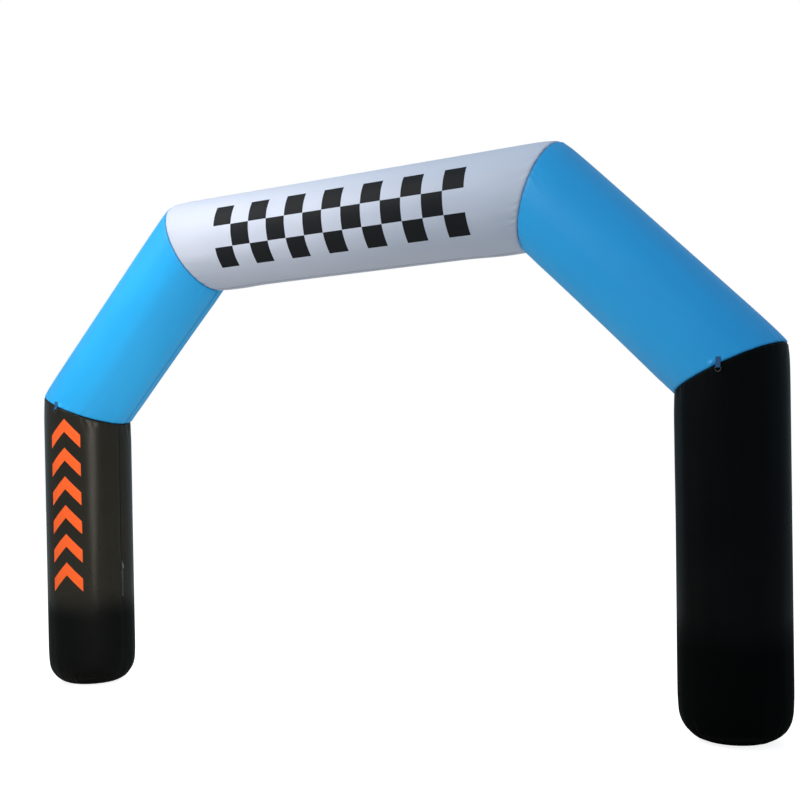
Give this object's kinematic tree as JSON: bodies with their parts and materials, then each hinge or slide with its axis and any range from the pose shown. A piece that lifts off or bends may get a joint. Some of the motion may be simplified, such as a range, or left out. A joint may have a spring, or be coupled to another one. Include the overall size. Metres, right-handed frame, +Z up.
{
  "type": "inflatable arch",
  "caption": "Angular inflatable event arch of round air-filled cloth tubes: black upright legs, blue diagonals and a white beam, with a tie ring at each knee seam.",
  "frame": {"origin": "on the ground, midway between the two feet", "axes": "+X along the span from the left leg to the right leg seen from the front, +Z up, and the printed front faces -Y"},
  "size_m": [6.08, 0.7133, 3.8849],
  "materials": {
    "black_cloth": "coated polyester cloth, taut, soft semi-gloss",
    "blue_cloth": "coated polyester cloth, taut, soft semi-gloss",
    "white_cloth": "coated polyester cloth, taut, soft semi-gloss",
    "tab_webbing": "woven strap, matt",
    "ring_steel": "zinc-plated wire, worn",
    "zip_tape": "woven tape, matt",
    "zip_metal": "die-cast, satin"
  },
  "bodies": {
    "root": {"leg_left": "black_cloth", "leg_right": "black_cloth", "diagonal_left": "blue_cloth", "diagonal_right": "blue_cloth", "beam": "white_cloth", "tie_tab_left": "tab_webbing", "tie_tab_right": "tab_webbing", "tie_ring_left": "ring_steel", "tie_ring_right": "ring_steel", "zip_tape": "zip_tape", "zip_slider": "zip_metal", "zip_pull": "zip_metal"}
  },
  "joints": []
}
